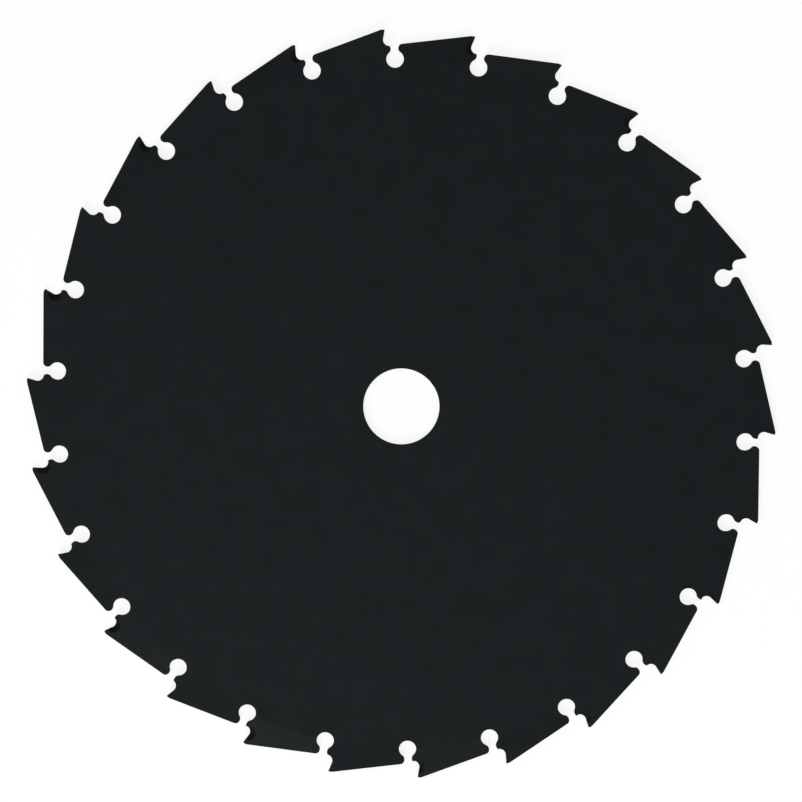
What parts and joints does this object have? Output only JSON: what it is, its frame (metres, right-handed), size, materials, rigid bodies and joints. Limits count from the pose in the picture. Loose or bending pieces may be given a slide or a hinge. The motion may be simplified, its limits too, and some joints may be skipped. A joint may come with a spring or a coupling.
{
  "type": "brush cutter blade",
  "caption": "Flat steel clearing disc with keyhole gullets, hooked teeth set and ground to alternate sides, and a round arbor hole.",
  "frame": {"origin": "centre of the arbor hole, halfway through the plate", "axes": "+Z along the arbor axis out of the side seen in the picture; one gullet stands on +Y; seen from +Z the teeth point clockwise"},
  "size_m": [0.2492, 0.25, 0.003],
  "materials": {
    "blade": "black satin lacquer over hardened steel"
  },
  "bodies": {
    "root": {"blade": "blade"}
  },
  "joints": []
}
